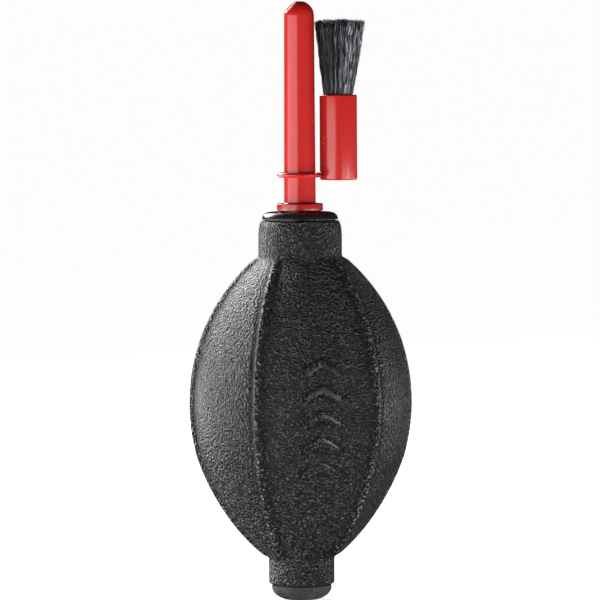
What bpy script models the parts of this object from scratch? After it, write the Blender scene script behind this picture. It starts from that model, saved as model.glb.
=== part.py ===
"""Dust blower bulb with a swivelling nozzle and a lens brush that slides on it.

Metres, +Z up. The origin is the centre of the flat foot, on the bulb's axis. +Z runs up the axis
to the nozzle's tip. The bulb's widest front panel faces -Y and the brush hangs on the +X side.
Every solid keeps JOINT_GAP to the solid it touches on the real object.
"""

from math import asin, cos, pi, radians, sin, sqrt

import bmesh
import bpy
from mathutils import Vector

JOINT_GAP = 0.0003  # between two pieces that touch on the real object
SEGMENTS = 32  # sides of a turned piece
SMALL_SEGMENTS = 28  # sides of the tuft, the flap and the cage
SMOOTH_BELOW = radians(35)  # edges that turn less than this are shaded smooth

# Bulb: a rubber shell with a base collar, a ribbed belly and a neck collar
BELLY_RADIUS = 0.02764
BELLY_WIDEST_Z = 0.0495
UPPER_ARC_RADIUS = 0.0476
LOWER_ARC_RADIUS = 0.0485
LOWER_FLATTENING = 0.0004  # how far the lower arc is drawn in between its two ends
LOWER_FLATTENING_TOP_Z = 0.036
BULB_WALL = 0.0024
BASE_COLLAR_BOTTOM_Z = 0.0040
BASE_COLLAR_TOP_Z = 0.0105
BASE_COLLAR_RADIUS = 0.00823
BASE_COLLAR_CHAMFER = 0.0007
BELLY_BOTTOM_Z = 0.0111
BELLY_TOP_Z = 0.0860
NECK_COLLAR_RADIUS = 0.01045
NECK_COLLAR_BOTTOM_Z = 0.0865
NECK_COLLAR_SHOULDER_Z = 0.0912
NECK_TOP_RADIUS = 0.0095
NECK_TOP_Z = 0.0951
NECK_SHOULDER_STEPS = 4
NECK_BORE_RADIUS = 0.0070
BASE_BORE_RADIUS = 0.0066
CAVITY_RIB_HEIGHT = 0.0001  # the cavity follows the panels, with hardly any rib
CAVITY_INSET = 0.0007  # the cavity's ends lie this far inside the belly's
BELLY_ROWS = 20
CAVITY_ROWS = 9

# Ribs: moulded ridges that run from collar to collar. The four face ribs splay out at both ends.
# Between two ribs the wall is a panel, flatter than the circle through the ribs.
PANEL_EDGE_TURN = radians(7)  # how far a panel's edge faces away from the circle's own normal
RIB_HEIGHT = 0.0005
RIB_HALF_WIDTH = 0.0011
RIB_SHOULDER = 0.72  # height at half the half width, as a share of RIB_HEIGHT
RIB_SPLAY_SLOPE = 0.479  # a face rib's distance from the panel's middle is slope * radius + offset
RIB_SPLAY_OFFSET = 0.0021
COLUMNS_BETWEEN_RIBS = 5

# Neck bush: a hard ring with a stem that plugs into the neck
BUSH_RADIUS = 0.0095
BUSH_SHOULDER_Z = 0.0956
BUSH_TOP_RADIUS = 0.0074
BUSH_TOP_Z = 0.0973
BUSH_SHOULDER_STEPS = 5
BUSH_BOTTOM_Z = 0.0845
BUSH_BORE_RADIUS = 0.0043
BUSH_BARB_RADIUS = 0.0074
BUSH_BARB_HEIGHT = 0.0008

# Nozzle: a tapered tube with a flange, a stem that turns in the bush, and an air bore
STEM_RADIUS = 0.0040
STEM_BOTTOM_Z = 0.0830
STEM_LIP_RADIUS = 0.0046
STEM_LIP_HEIGHT = 0.0012
STEM_LIP_TAPER = 0.0008  # height of the cone below the lip's full width
FLANGE_RADIUS = 0.00575
FLANGE_TOP_Z = 0.0994
FLANGE_EDGE = 0.0003
TUBE_BOTTOM_RADIUS = 0.00395
TUBE_TOP_RADIUS = 0.00374
TIP_TOP_Z = 0.1500
DOME_STEPS = 9
TIP_FLAT_RADIUS = 0.0009
AIR_BORE_RADIUS = 0.0012
AIR_MOUTH_RADIUS = 0.0006
AIR_MOUTH_LENGTH = 0.0050
TIP_CUT_ANGLE = radians(45)
TIP_CUT_DISTANCE = 0.00322  # from the dome's centre to the slanted flat

# Brush holder: a ferrule tube beside the nozzle, joined to a thin ring around the nozzle
BRUSH_OFFSET_X = 0.00985
FERRULE_RADIUS = 0.00468
FERRULE_BOTTOM_Z = 0.1052
FERRULE_TOP_Z = 0.1265
FERRULE_EDGE = 0.0003
SOCKET_RADIUS = 0.0040
SOCKET_TOP_Z = 0.1184
CUP_RADIUS = 0.00395
CUP_BOTTOM_Z = 0.1196
PARTITION_HOLE_RADIUS = 0.0009
RING_Z = 0.1065
RING_RADIUS = 0.00505
RING_WIRE_RADIUS = 0.00058
RING_WIRE_SEGMENTS = 8
WEB_RADIUS = 0.0008
WEB_START_X = 0.0044
WEB_END_X = 0.0056
WEB_SEGMENTS = 12

# Bristle tuft and the resin that holds its roots
RESIN_THICKNESS = 0.0020
TUFT_ROOT_RADIUS = 0.00362
TUFT_MOUTH_RADIUS = 0.00385
TUFT_TIP_RADIUS = 0.00620
TUFT_TOP_Z = 0.1456
TUFT_CROWN = 0.0004
TUFT_LEAN = 0.00040  # how far the trimmed end leans away from the nozzle

# Inlet valve: a domed plug in the base collar, a rubber flap on its seat, and a cage above it
FOOT_RADIUS = 0.0026
PLUG_RADIUS = 0.0075
PLUG_DOME_TOP_Z = 0.0033
PLUG_DOME_STEPS = 7
PLUG_STEM_RADIUS = 0.0063
PLUG_BARB_RADIUS = 0.0069
PLUG_BARB_Z = 0.0122
PLUG_TOP_Z = 0.0140
INLET_RADIUS = 0.0010
CHAMBER_RADIUS = 0.0046
CHAMBER_FLOOR_Z = 0.0030
SEAT_Z = 0.0036
SEAT_INNER_RADIUS = 0.0014
SEAT_OUTER_RADIUS = 0.0020
FLAP_RADIUS = 0.0038
FLAP_THICKNESS = 0.0006
FLAP_LIFT = 0.0008
CAGE_THICKNESS = 0.0012
CAGE_HOLE_RADIUS = 0.0009
CAGE_HOLE_CIRCLE = 0.0027
CAGE_HOLES = 5
CAGE_HOLE_SEGMENTS = 10


def clear_scene():
    for old in list(bpy.data.objects):
        bpy.data.objects.remove(old, do_unlink=True)


def make_material(name, colour, roughness, metallic=0.0):
    """A plain Principled material."""
    material = bpy.data.materials.new(name)
    material.use_nodes = True
    shader = material.node_tree.nodes["Principled BSDF"]
    shader.inputs["Base Color"].default_value = (*colour, 1.0)
    shader.inputs["Roughness"].default_value = roughness
    shader.inputs["Metallic"].default_value = metallic
    return material


def make_object(name, bm, material, origin=(0, 0, 0)):
    """Links the finished bmesh as an object whose origin is at origin."""
    bmesh.ops.recalc_face_normals(bm, faces=bm.faces)
    bmesh.ops.translate(bm, verts=bm.verts, vec=-Vector(origin))
    mesh = bpy.data.meshes.new(name)
    bm.to_mesh(mesh)
    bm.free()
    mesh.shade_smooth()
    mesh.set_sharp_from_angle(angle=SMOOTH_BELOW)
    mesh.materials.append(material)
    piece = bpy.data.objects.new(name, mesh)
    piece.location = origin
    bpy.context.scene.collection.objects.link(piece)
    return piece


def make_cutter(name, bm):
    """A guide solid for a Boolean, hidden in renders."""
    cutter = make_object(name, bm, None)
    cutter.hide_render = True
    cutter.display_type = "WIRE"
    return cutter


def boolean(piece, cutter, operation):
    modifier = piece.modifiers.new(cutter.name, "BOOLEAN")
    modifier.object = cutter
    modifier.operation = operation
    modifier.solver = "EXACT"


def ellipse_arc(centre, radii, start, end, steps):
    """(radius, z) points on an ellipse, by angle from the horizontal."""
    angles = [start + (end - start) * i / steps for i in range(steps + 1)]
    return [(centre[0] + radii[0] * cos(a), centre[1] + radii[1] * sin(a)) for a in angles]


def turned(profile, segments=SEGMENTS, centre=(0.0, 0.0)):
    """Spins a closed (radius, z) outline about the vertical axis through centre.

    A point of radius 0 lies on the axis, and an outline with such points closes over it.
    """
    bm = bmesh.new()
    corners = [bm.verts.new((centre[0] + r, centre[1], z)) for r, z in profile]
    on_axis = [r == 0.0 for r, z in profile]
    for i, corner in enumerate(corners):
        following = (i + 1) % len(corners)
        if not (on_axis[i] and on_axis[following]):
            bm.edges.new((corner, corners[following]))
    bmesh.ops.spin(
        bm,
        geom=bm.verts[:] + bm.edges[:],
        cent=(centre[0], centre[1], 0),
        axis=(0, 0, 1),
        angle=2 * pi,
        steps=segments,
        use_merge=True,
    )
    bmesh.ops.remove_doubles(bm, verts=bm.verts, dist=1e-6)
    return bm


def belly_radius(z):
    """Outer radius of the belly: an upper and a lower arc that share the widest circle."""
    arc = UPPER_ARC_RADIUS if z > BELLY_WIDEST_Z else LOWER_ARC_RADIUS
    radius = BELLY_RADIUS - arc + sqrt(arc**2 - (z - BELLY_WIDEST_Z) ** 2)
    if z < LOWER_FLATTENING_TOP_Z:
        share = (z - BELLY_BOTTOM_Z) / (LOWER_FLATTENING_TOP_Z - BELLY_BOTTOM_Z)
        radius -= LOWER_FLATTENING * sin(pi * share)
    return radius


def rib_angles(radius):
    """Angles of the six ribs, measured from -Y towards +X, on a circle of this radius."""
    splay = asin(min(1.0, RIB_SPLAY_SLOPE + RIB_SPLAY_OFFSET / radius))
    return [-splay, splay, pi / 2, pi - splay, pi + splay, 1.5 * pi]


def panel_radius(radius, half_angle, angle):
    """Radius of a flattened panel at this angle from its middle. Its edges lie on the circle."""
    arc = radius * sin(half_angle) / sin(half_angle - PANEL_EDGE_TURN)
    setback = arc * cos(half_angle - PANEL_EDGE_TURN) - radius * cos(half_angle)
    return sqrt(arc**2 - (setback * sin(angle)) ** 2) - setback * cos(angle)


def ribbed_ring(radius, rib_height):
    """(angle, radius) of one ring's columns: a rib's crest and right flank, a panel, a left flank.

    A ring with no rib height is a plain circle.
    """
    ribs = rib_angles(radius)
    flank = RIB_HALF_WIDTH / radius
    columns = []
    for rib, following in zip(ribs, ribs[1:] + [ribs[0] + 2 * pi]):
        half_angle, middle = (following - rib) / 2, (following + rib) / 2
        between = [
            flank + (2 * half_angle - 2 * flank) * step / (COLUMNS_BETWEEN_RIBS + 1)
            for step in range(COLUMNS_BETWEEN_RIBS + 2)
        ]
        offsets = [0.0, flank / 2, *between, 2 * half_angle - flank / 2]
        lifts = [1.0, RIB_SHOULDER, *[0.0] * len(between), RIB_SHOULDER]
        for offset, lift in zip(offsets, lifts):
            angle = rib + offset
            flat = panel_radius(radius, half_angle, angle - middle) if rib_height else radius
            columns.append((angle, flat + rib_height * lift))
    return columns


def bulb_rings():
    """(radius, z, rib height) round the shell's section: up the outside, down the inside."""
    collar_edge = BASE_COLLAR_RADIUS - BASE_COLLAR_CHAMFER
    rings = [
        (collar_edge, BASE_COLLAR_BOTTOM_Z, 0.0),
        (BASE_COLLAR_RADIUS, BASE_COLLAR_BOTTOM_Z + BASE_COLLAR_CHAMFER, 0.0),
        (BASE_COLLAR_RADIUS, BASE_COLLAR_TOP_Z, 0.0),
    ]
    for row in range(BELLY_ROWS + 1):
        z = BELLY_BOTTOM_Z + (BELLY_TOP_Z - BELLY_BOTTOM_Z) * row / BELLY_ROWS
        rings.append((belly_radius(z), z, RIB_HEIGHT))
    shoulder = ellipse_arc(
        (NECK_TOP_RADIUS, NECK_COLLAR_SHOULDER_Z),
        (NECK_COLLAR_RADIUS - NECK_TOP_RADIUS, NECK_TOP_Z - NECK_COLLAR_SHOULDER_Z),
        0,
        pi / 2,
        NECK_SHOULDER_STEPS,
    )
    rings.append((NECK_COLLAR_RADIUS, NECK_COLLAR_BOTTOM_Z, 0.0))
    rings += [(radius, z, 0.0) for radius, z in shoulder]
    rings.append((NECK_BORE_RADIUS, NECK_TOP_Z, 0.0))
    rings.append((NECK_BORE_RADIUS, BELLY_TOP_Z + CAVITY_INSET, 0.0))
    cavity_top, cavity_bottom = BELLY_TOP_Z - CAVITY_INSET, BELLY_BOTTOM_Z + CAVITY_INSET
    for row in range(CAVITY_ROWS + 1):
        z = cavity_top + (cavity_bottom - cavity_top) * row / CAVITY_ROWS
        rings.append((belly_radius(z) - BULB_WALL, z, CAVITY_RIB_HEIGHT))
    rings.append((BASE_BORE_RADIUS, BASE_COLLAR_TOP_Z, 0.0))
    rings.append((BASE_BORE_RADIUS, BASE_COLLAR_BOTTOM_Z, 0.0))
    return rings


def make_bulb(material):
    """The shell: a loft of rings that closes on itself, open at the neck and at the base."""
    bm = bmesh.new()
    loops = []
    for radius, z, rib_height in bulb_rings():
        ring = ribbed_ring(radius, rib_height)
        loops.append([bm.verts.new((r * sin(a), -r * cos(a), z)) for a, r in ring])
    for loop, following in zip(loops, loops[1:] + [loops[0]]):
        for column, vert in enumerate(loop):
            beside = (column + 1) % len(loop)
            bm.faces.new((vert, loop[beside], following[beside], following[column]))
    return make_object("bulb", bm, material)


def make_neck_bush(material):
    """A turned ring with a rounded shoulder. Its stem ends in a barb inside the bulb."""
    ring_bottom = NECK_TOP_Z + JOINT_GAP
    stem = NECK_BORE_RADIUS - JOINT_GAP
    barb_z = BUSH_BOTTOM_Z + BUSH_BARB_HEIGHT
    shoulder = ellipse_arc(
        (BUSH_TOP_RADIUS, BUSH_SHOULDER_Z),
        (BUSH_RADIUS - BUSH_TOP_RADIUS, BUSH_TOP_Z - BUSH_SHOULDER_Z),
        0,
        pi / 2,
        BUSH_SHOULDER_STEPS,
    )
    profile = [(BUSH_BORE_RADIUS, BUSH_BOTTOM_Z), (stem, BUSH_BOTTOM_Z), (BUSH_BARB_RADIUS, barb_z)]
    profile += [(stem, barb_z), (stem, ring_bottom), (BUSH_RADIUS, ring_bottom)]
    profile += shoulder
    profile += [(BUSH_BORE_RADIUS, BUSH_TOP_Z)]
    return make_object("neck_bush", turned(profile), material)


def nozzle_profile():
    """(radius, z) outline: up the outside from the stem's lip, over the dome, down the bore."""
    lip_top = STEM_BOTTOM_Z + STEM_LIP_HEIGHT
    flange_bottom = BUSH_TOP_Z + JOINT_GAP
    dome_z = TIP_TOP_Z - TUBE_TOP_RADIUS
    flat_angle = pi / 2 - asin(TIP_FLAT_RADIUS / TUBE_TOP_RADIUS)
    dome_radii = (TUBE_TOP_RADIUS, TUBE_TOP_RADIUS)
    dome = ellipse_arc((0, dome_z), dome_radii, 0, flat_angle, DOME_STEPS)
    outside = [
        (STEM_RADIUS, STEM_BOTTOM_Z),
        (STEM_LIP_RADIUS, STEM_BOTTOM_Z + STEM_LIP_TAPER),
        (STEM_LIP_RADIUS, lip_top),
        (STEM_RADIUS, lip_top),
        (STEM_RADIUS, flange_bottom),
        (FLANGE_RADIUS, flange_bottom),
        (FLANGE_RADIUS, FLANGE_TOP_Z - FLANGE_EDGE),
        (FLANGE_RADIUS - FLANGE_EDGE, FLANGE_TOP_Z),
        (TUBE_BOTTOM_RADIUS, FLANGE_TOP_Z),
    ]
    mouth_bottom = TIP_TOP_Z - AIR_MOUTH_LENGTH
    inside = [
        (AIR_MOUTH_RADIUS, dome[-1][1]),
        (AIR_MOUTH_RADIUS, mouth_bottom),
        (AIR_BORE_RADIUS, mouth_bottom - AIR_BORE_RADIUS),
        (AIR_BORE_RADIUS, STEM_BOTTOM_Z),
    ]
    return outside + dome + inside


def make_nozzle(material):
    """The tube is turned, then its dome is cut by a slanted flat on the -X side."""
    bm = turned(nozzle_profile())
    outwards = Vector((-sin(TIP_CUT_ANGLE), 0, cos(TIP_CUT_ANGLE)))
    dome_centre = Vector((0, 0, TIP_TOP_Z - TUBE_TOP_RADIUS))
    bmesh.ops.bisect_plane(
        bm,
        geom=bm.verts[:] + bm.edges[:] + bm.faces[:],
        plane_co=dome_centre + outwards * TIP_CUT_DISTANCE,
        plane_no=outwards,
        clear_outer=True,
    )
    rim = [edge for edge in bm.edges if edge.is_boundary]
    bmesh.ops.edgeloop_fill(bm, edges=rim)
    return make_object("nozzle", bm, material)


def make_brush_holder(material):
    """The ferrule is turned beside the nozzle. A ring round the nozzle joins it by a short web."""
    centre = (BRUSH_OFFSET_X, 0.0)
    edge = FERRULE_RADIUS - FERRULE_EDGE
    profile = [
        (SOCKET_RADIUS, FERRULE_BOTTOM_Z),
        (edge, FERRULE_BOTTOM_Z),
        (FERRULE_RADIUS, FERRULE_BOTTOM_Z + FERRULE_EDGE),
        (FERRULE_RADIUS, FERRULE_TOP_Z),
        (CUP_RADIUS, FERRULE_TOP_Z),
        (CUP_RADIUS, CUP_BOTTOM_Z),
        (PARTITION_HOLE_RADIUS, CUP_BOTTOM_Z),
        (PARTITION_HOLE_RADIUS, SOCKET_TOP_Z),
        (SOCKET_RADIUS, SOCKET_TOP_Z),
    ]
    origin = (0, 0, RING_Z)
    holder = make_object("brush_holder", turned(profile, centre=centre), material, origin)
    wire_radii = (RING_WIRE_RADIUS, RING_WIRE_RADIUS)
    wire = ellipse_arc((RING_RADIUS, RING_Z), wire_radii, 0, 2 * pi, RING_WIRE_SEGMENTS)
    ring = make_cutter("guide_ring", turned(wire[:-1]))
    web_bm = bmesh.new()
    bmesh.ops.create_cone(
        web_bm,
        cap_ends=True,
        segments=WEB_SEGMENTS,
        radius1=WEB_RADIUS,
        radius2=WEB_RADIUS,
        depth=WEB_END_X - WEB_START_X,
    )
    quarter_turn = Vector((0, 0, 1)).rotation_difference(Vector((1, 0, 0))).to_matrix()
    bmesh.ops.rotate(web_bm, verts=web_bm.verts, matrix=quarter_turn)
    web_middle = Vector(((WEB_START_X + WEB_END_X) / 2, 0, RING_Z))
    bmesh.ops.translate(web_bm, verts=web_bm.verts, vec=web_middle)
    web = make_cutter("guide_web", web_bm)
    boolean(holder, ring, "UNION")
    boolean(holder, web, "UNION")
    return holder


def make_tuft(bristle_material, resin_material):
    """The tuft is a flared solid from the cup to its trimmed end. Resin holds its roots."""
    centre = (BRUSH_OFFSET_X, 0.0)
    resin_bottom = CUP_BOTTOM_Z + JOINT_GAP
    resin_top = resin_bottom + RESIN_THICKNESS
    resin_radius = CUP_RADIUS - JOINT_GAP
    resin_outline = [
        (PARTITION_HOLE_RADIUS, resin_bottom),
        (resin_radius, resin_bottom),
        (resin_radius, resin_top),
        (PARTITION_HOLE_RADIUS, resin_top),
    ]
    make_object("bristle_resin", turned(resin_outline, SMALL_SEGMENTS, centre), resin_material)
    tuft_bottom = resin_top + JOINT_GAP
    tuft_outline = [
        (0.0, tuft_bottom),
        (TUFT_ROOT_RADIUS, tuft_bottom),
        (TUFT_ROOT_RADIUS, FERRULE_TOP_Z),
        (TUFT_MOUTH_RADIUS, FERRULE_TOP_Z + JOINT_GAP),
        (TUFT_TIP_RADIUS, TUFT_TOP_Z - TUFT_CROWN),
        (TUFT_TIP_RADIUS / 2, TUFT_TOP_Z),
        (0.0, TUFT_TOP_Z),
    ]
    tuft = turned(tuft_outline, SMALL_SEGMENTS, centre)
    for vert in tuft.verts:
        share = (vert.co.z - FERRULE_TOP_Z) / (TUFT_TOP_Z - FERRULE_TOP_Z)
        vert.co.x += TUFT_LEAN * max(0.0, share)
    return make_object("bristle_tuft", tuft, bristle_material)


def make_valve_body(material):
    """A domed plug with a flat foot. Its stem snaps into the base collar and holds the valve."""
    shelf_z = BASE_COLLAR_BOTTOM_Z - JOINT_GAP
    dome = ellipse_arc(
        (FOOT_RADIUS, PLUG_DOME_TOP_Z),
        (PLUG_RADIUS - FOOT_RADIUS, PLUG_DOME_TOP_Z),
        -pi / 2,
        0,
        PLUG_DOME_STEPS,
    )
    profile = [(INLET_RADIUS, 0.0)] + dome
    profile += [
        (PLUG_RADIUS, shelf_z),
        (PLUG_STEM_RADIUS, shelf_z),
        (PLUG_STEM_RADIUS, PLUG_BARB_Z),
        (PLUG_BARB_RADIUS, PLUG_BARB_Z),
        (PLUG_STEM_RADIUS, PLUG_TOP_Z),
        (CHAMBER_RADIUS, PLUG_TOP_Z),
        (CHAMBER_RADIUS, CHAMBER_FLOOR_Z),
        (SEAT_OUTER_RADIUS, CHAMBER_FLOOR_Z),
        (SEAT_OUTER_RADIUS, SEAT_Z),
        (SEAT_INNER_RADIUS, SEAT_Z),
        (INLET_RADIUS, CHAMBER_FLOOR_Z),
    ]
    return make_object("valve_body", turned(profile), material)


def make_valve_flap(material):
    """A rubber disc that lifts off the seat when the bulb draws air in."""
    bottom = SEAT_Z + JOINT_GAP
    top = bottom + FLAP_THICKNESS
    outline = [(0.0, bottom), (FLAP_RADIUS, bottom), (FLAP_RADIUS, top), (0.0, top)]
    return make_object("valve_flap", turned(outline, SMALL_SEGMENTS), material, (0, 0, bottom))


def make_valve_cage(material):
    """A drilled disc in the plug's chamber that stops the flap's lift."""
    bottom = SEAT_Z + 2 * JOINT_GAP + FLAP_THICKNESS + FLAP_LIFT
    top = bottom + CAGE_THICKNESS
    radius = CHAMBER_RADIUS - JOINT_GAP
    outline = [(0.0, bottom), (radius, bottom), (radius, top), (0.0, top)]
    cage = make_object("valve_cage", turned(outline, SMALL_SEGMENTS), material)
    for hole in range(CAGE_HOLES):
        angle = 2 * pi * hole / CAGE_HOLES
        centre = (CAGE_HOLE_CIRCLE * cos(angle), CAGE_HOLE_CIRCLE * sin(angle))
        below, above = bottom - CAGE_THICKNESS, top + CAGE_THICKNESS
        drill = [(0.0, below), (CAGE_HOLE_RADIUS, below), (CAGE_HOLE_RADIUS, above), (0.0, above)]
        drill_bit = make_cutter(f"guide_drill_{hole + 1}", turned(drill, CAGE_HOLE_SEGMENTS, centre))
        boolean(cage, drill_bit, "DIFFERENCE")
    return cage


def build():
    clear_scene()
    rubber = make_material("bulb_rubber", (0.035, 0.035, 0.037), 0.62)
    gloss_black = make_material("gloss_black_plastic", (0.010, 0.010, 0.011), 0.12)
    satin_black = make_material("satin_black_plastic", (0.030, 0.030, 0.032), 0.40)
    red = make_material("red_plastic", (0.456, 0.017, 0.012), 0.25)
    bristle = make_material("black_bristle", (0.012, 0.012, 0.014), 0.45)
    resin = make_material("bristle_resin", (0.45, 0.26, 0.08), 0.30)
    flap_rubber = make_material("flap_rubber", (0.050, 0.050, 0.052), 0.55)
    cage_plastic = make_material("natural_plastic", (0.70, 0.68, 0.62), 0.45)
    make_bulb(rubber)
    make_neck_bush(gloss_black)
    make_nozzle(red)
    make_brush_holder(red)
    make_tuft(bristle, resin)
    make_valve_body(satin_black)
    make_valve_flap(flap_rubber)
    make_valve_cage(cage_plastic)


build()
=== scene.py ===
"""The looks of the dust blower bulb, piece by piece in the order in which it is put together.

Metres, +Z up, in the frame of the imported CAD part. Angles round the bulb count from -Y towards +X.
"""

import random
from math import asin, cos, exp, hypot, pi, radians, sin, sqrt

import bmesh
import bpy
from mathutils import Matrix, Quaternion, Vector, noise


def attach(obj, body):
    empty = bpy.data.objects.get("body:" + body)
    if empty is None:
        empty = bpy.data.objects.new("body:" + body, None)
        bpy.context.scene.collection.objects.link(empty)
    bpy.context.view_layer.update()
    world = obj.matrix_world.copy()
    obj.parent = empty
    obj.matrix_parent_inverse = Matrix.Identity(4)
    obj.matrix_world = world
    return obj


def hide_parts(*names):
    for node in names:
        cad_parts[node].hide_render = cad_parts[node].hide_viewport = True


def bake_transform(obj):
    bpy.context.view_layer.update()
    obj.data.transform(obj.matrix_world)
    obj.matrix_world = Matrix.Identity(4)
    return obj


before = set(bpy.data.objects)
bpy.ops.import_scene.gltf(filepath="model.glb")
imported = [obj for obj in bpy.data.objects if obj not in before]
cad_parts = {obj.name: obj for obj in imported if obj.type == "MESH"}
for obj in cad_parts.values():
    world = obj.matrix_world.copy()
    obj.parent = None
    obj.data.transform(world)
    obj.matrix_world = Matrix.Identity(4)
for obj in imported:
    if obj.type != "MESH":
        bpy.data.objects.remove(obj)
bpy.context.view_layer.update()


# ---------------------------------------------------------------------------------------- Bulb
# The squeeze bulb is moulded in one piece from black rubber, with six ribs that stiffen its
# belly and a collar at each end. Its mould is etched, so the outside has a fine leathery grain.

BELLY_RADIUS = 0.02764
BELLY_WIDEST_Z = 0.0495
UPPER_ARC_RADIUS = 0.0476
LOWER_ARC_RADIUS = 0.0485
LOWER_FLATTENING = 0.0004
LOWER_FLATTENING_TOP_Z = 0.036
BELLY_BOTTOM_Z = 0.0111
BELLY_TOP_Z = 0.0860
BULB_WALL = 0.0024
CAVITY_INSET = 0.0007
BASE_COLLAR_BOTTOM_Z = 0.0040
BASE_COLLAR_TOP_Z = 0.0105
BASE_COLLAR_RADIUS = 0.00823
BASE_COLLAR_ROUNDING = 0.0007
BASE_BORE_RADIUS = 0.0066
NECK_COLLAR_RADIUS = 0.01045
NECK_COLLAR_SHOULDER_Z = 0.0912
NECK_TOP_RADIUS = 0.0095
NECK_TOP_Z = 0.0951
NECK_BORE_RADIUS = 0.0070
PANEL_EDGE_TURN = radians(7)
RIB_HEIGHT = 0.00068
RIB_HALF_WIDTH = 0.00120
RIB_ROUNDNESS = 1.3
RIB_GROOVE_DEPTH = 0.20  # of the groove on each side of a rib, as a share of the rib's height
RIB_GROOVE_PLACE = 1.35  # its distance from the rib's middle, in half widths
RIB_GROOVE_WIDTH = 0.4  # in half widths
RIB_REACH = 0.0026  # a rib and its grooves end this far from its middle
RIB_SPLAY_SLOPE = 0.479
RIB_SPLAY_OFFSET = 0.0021
RIB_RISE = 0.0012  # the ribs and panels come out of a collar over this much belly radius
COLLAR_FILLET = 0.0005
FLANK_COLUMNS = 13
PANEL_COLUMNS = 24
OUTER_ROWS = 300
CAVITY_ROWS = 20
SKIN_UNEVENNESS = 0.00003
SKIN_LUMPS_PER_METRE = 180
BASE_CORNER_UNEVENNESS = 0.35
EDGE_ANGLE = radians(38)  # an edge sharper than this isn't shaded as one smooth surface


def put(tree, kind, inputs=None, **options):
    """Adds a node to a tree, sets its options, and sets or links its inputs."""
    node = tree.nodes.new(kind)
    for option, value in options.items():
        setattr(node, option, value)
    for socket, value in (inputs or {}).items():
        if isinstance(value, bpy.types.NodeSocket):
            tree.links.new(value, node.inputs[socket])
        else:
            node.inputs[socket].default_value = value
    return node


def maths(tree, operation, *values):
    return put(tree, "ShaderNodeMath", dict(enumerate(values)), operation=operation).outputs[0]


def ramp(tree, value, low, high, to_low=0.0, to_high=1.0):
    """Maps low..high onto to_low..to_high, eased and clamped."""
    sockets = {"Value": value, "From Min": low, "From Max": high}
    sockets |= {"To Min": to_low, "To Max": to_high}
    return put(tree, "ShaderNodeMapRange", sockets, interpolation_type="SMOOTHSTEP").outputs[0]


def colours(tree, factor, first, second):
    """A colour between two others, each a tuple or a socket."""
    ends = [c if isinstance(c, bpy.types.NodeSocket) else (*c, 1.0) for c in (first, second)]
    sockets = {0: factor, 6: ends[0], 7: ends[1]}
    return put(tree, "ShaderNodeMix", sockets, data_type="RGBA").outputs[2]


def new_group(name, inputs, outputs):
    """A node group with number inputs, given with their usual values, and number outputs."""
    group = bpy.data.node_groups.new(name, "ShaderNodeTree")
    for socket, value in inputs.items():
        made = group.interface.new_socket(socket, in_out="INPUT", socket_type="NodeSocketFloat")
        made.default_value = value
    for socket in outputs:
        group.interface.new_socket(socket, in_out="OUTPUT", socket_type="NodeSocketFloat")
    return group, put(group, "NodeGroupInput").outputs, put(group, "NodeGroupOutput").inputs


def effect(tree, group, inputs=None):
    """Places a shared effect in a material, with this material's own values."""
    return put(tree, "ShaderNodeGroup", inputs, node_tree=group).outputs


def new_material(name, **plain):
    """A material, its node tree and its Principled shader, with the values that are plain."""
    material = bpy.data.materials.new(name)
    material.use_nodes = True
    shader = material.node_tree.nodes["Principled BSDF"]
    for socket, value in plain.items():
        shader.inputs[socket.replace("_", " ")].default_value = value
    return material, material.node_tree, shader


def finish_surface(tree, shader, colour, roughness, height, depth):
    """Links a material's colour, roughness and relief, whose full height is depth, in metres."""
    bump = put(tree, "ShaderNodeBump", {"Height": height, "Distance": depth, "Strength": 1.0})
    tree.links.new(colour, shader.inputs["Base Color"])
    tree.links.new(roughness, shader.inputs["Roughness"])
    tree.links.new(bump.outputs["Normal"], shader.inputs["Normal"])


def soft_max(first, second, reach):
    """The larger of two lengths, eased where they are within reach of each other."""
    share = min(1.0, max(0.0, 0.5 + 0.5 * (first - second) / reach))
    return second + (first - second) * share + reach * share * (1 - share)


def smooth_step(value, low, high):
    share = min(1.0, max(0.0, (value - low) / (high - low)))
    return share * share * (3 - 2 * share)


def arc(centre, radii, start, end, steps):
    """(radius, z) points on an ellipse, by angle from the horizontal."""
    angles = [start + (end - start) * i / steps for i in range(steps + 1)]
    return [(centre[0] + radii[0] * cos(a), centre[1] + radii[1] * sin(a)) for a in angles]


def place_in_scene(name, data):
    thing = bpy.data.objects.new(name, data)
    bpy.context.scene.collection.objects.link(thing)
    return thing


def loft(name, rings, material):
    """Skins rings of points. The last ring is joined to the first, so the piece is closed."""
    bm = bmesh.new()
    loops = []
    for ring in rings:
        is_point = all((point - ring[0]).length < 1e-9 for point in ring)
        if is_point:
            loops.append([bm.verts.new(ring[0])] * len(ring))
        else:
            loops.append([bm.verts.new(point) for point in ring])
    for loop, following in zip(loops, loops[1:] + loops[:1]):
        for i, j in zip(range(len(loop)), [*range(1, len(loop)), 0]):
            corners = list(dict.fromkeys([loop[i], loop[j], following[j], following[i]]))
            if len(corners) > 2:
                bm.faces.new(corners)
    bmesh.ops.recalc_face_normals(bm, faces=bm.faces)
    mesh = bpy.data.meshes.new(name)
    bm.to_mesh(mesh)
    bm.free()
    mesh.shade_smooth()
    mesh.set_sharp_from_angle(angle=EDGE_ANGLE)
    mesh.materials.append(material)
    return place_in_scene(name, mesh)


def belly_radius(z):
    """Radius of the circle through the ribs' feet: an upper and a lower arc."""
    bend = UPPER_ARC_RADIUS if z > BELLY_WIDEST_Z else LOWER_ARC_RADIUS
    radius = BELLY_RADIUS - bend + sqrt(max(0.0, bend**2 - (z - BELLY_WIDEST_Z) ** 2))
    if z < LOWER_FLATTENING_TOP_Z:
        share = (z - BELLY_BOTTOM_Z) / (LOWER_FLATTENING_TOP_Z - BELLY_BOTTOM_Z)
        radius -= LOWER_FLATTENING * sin(pi * max(0.0, share))
    return radius


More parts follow.
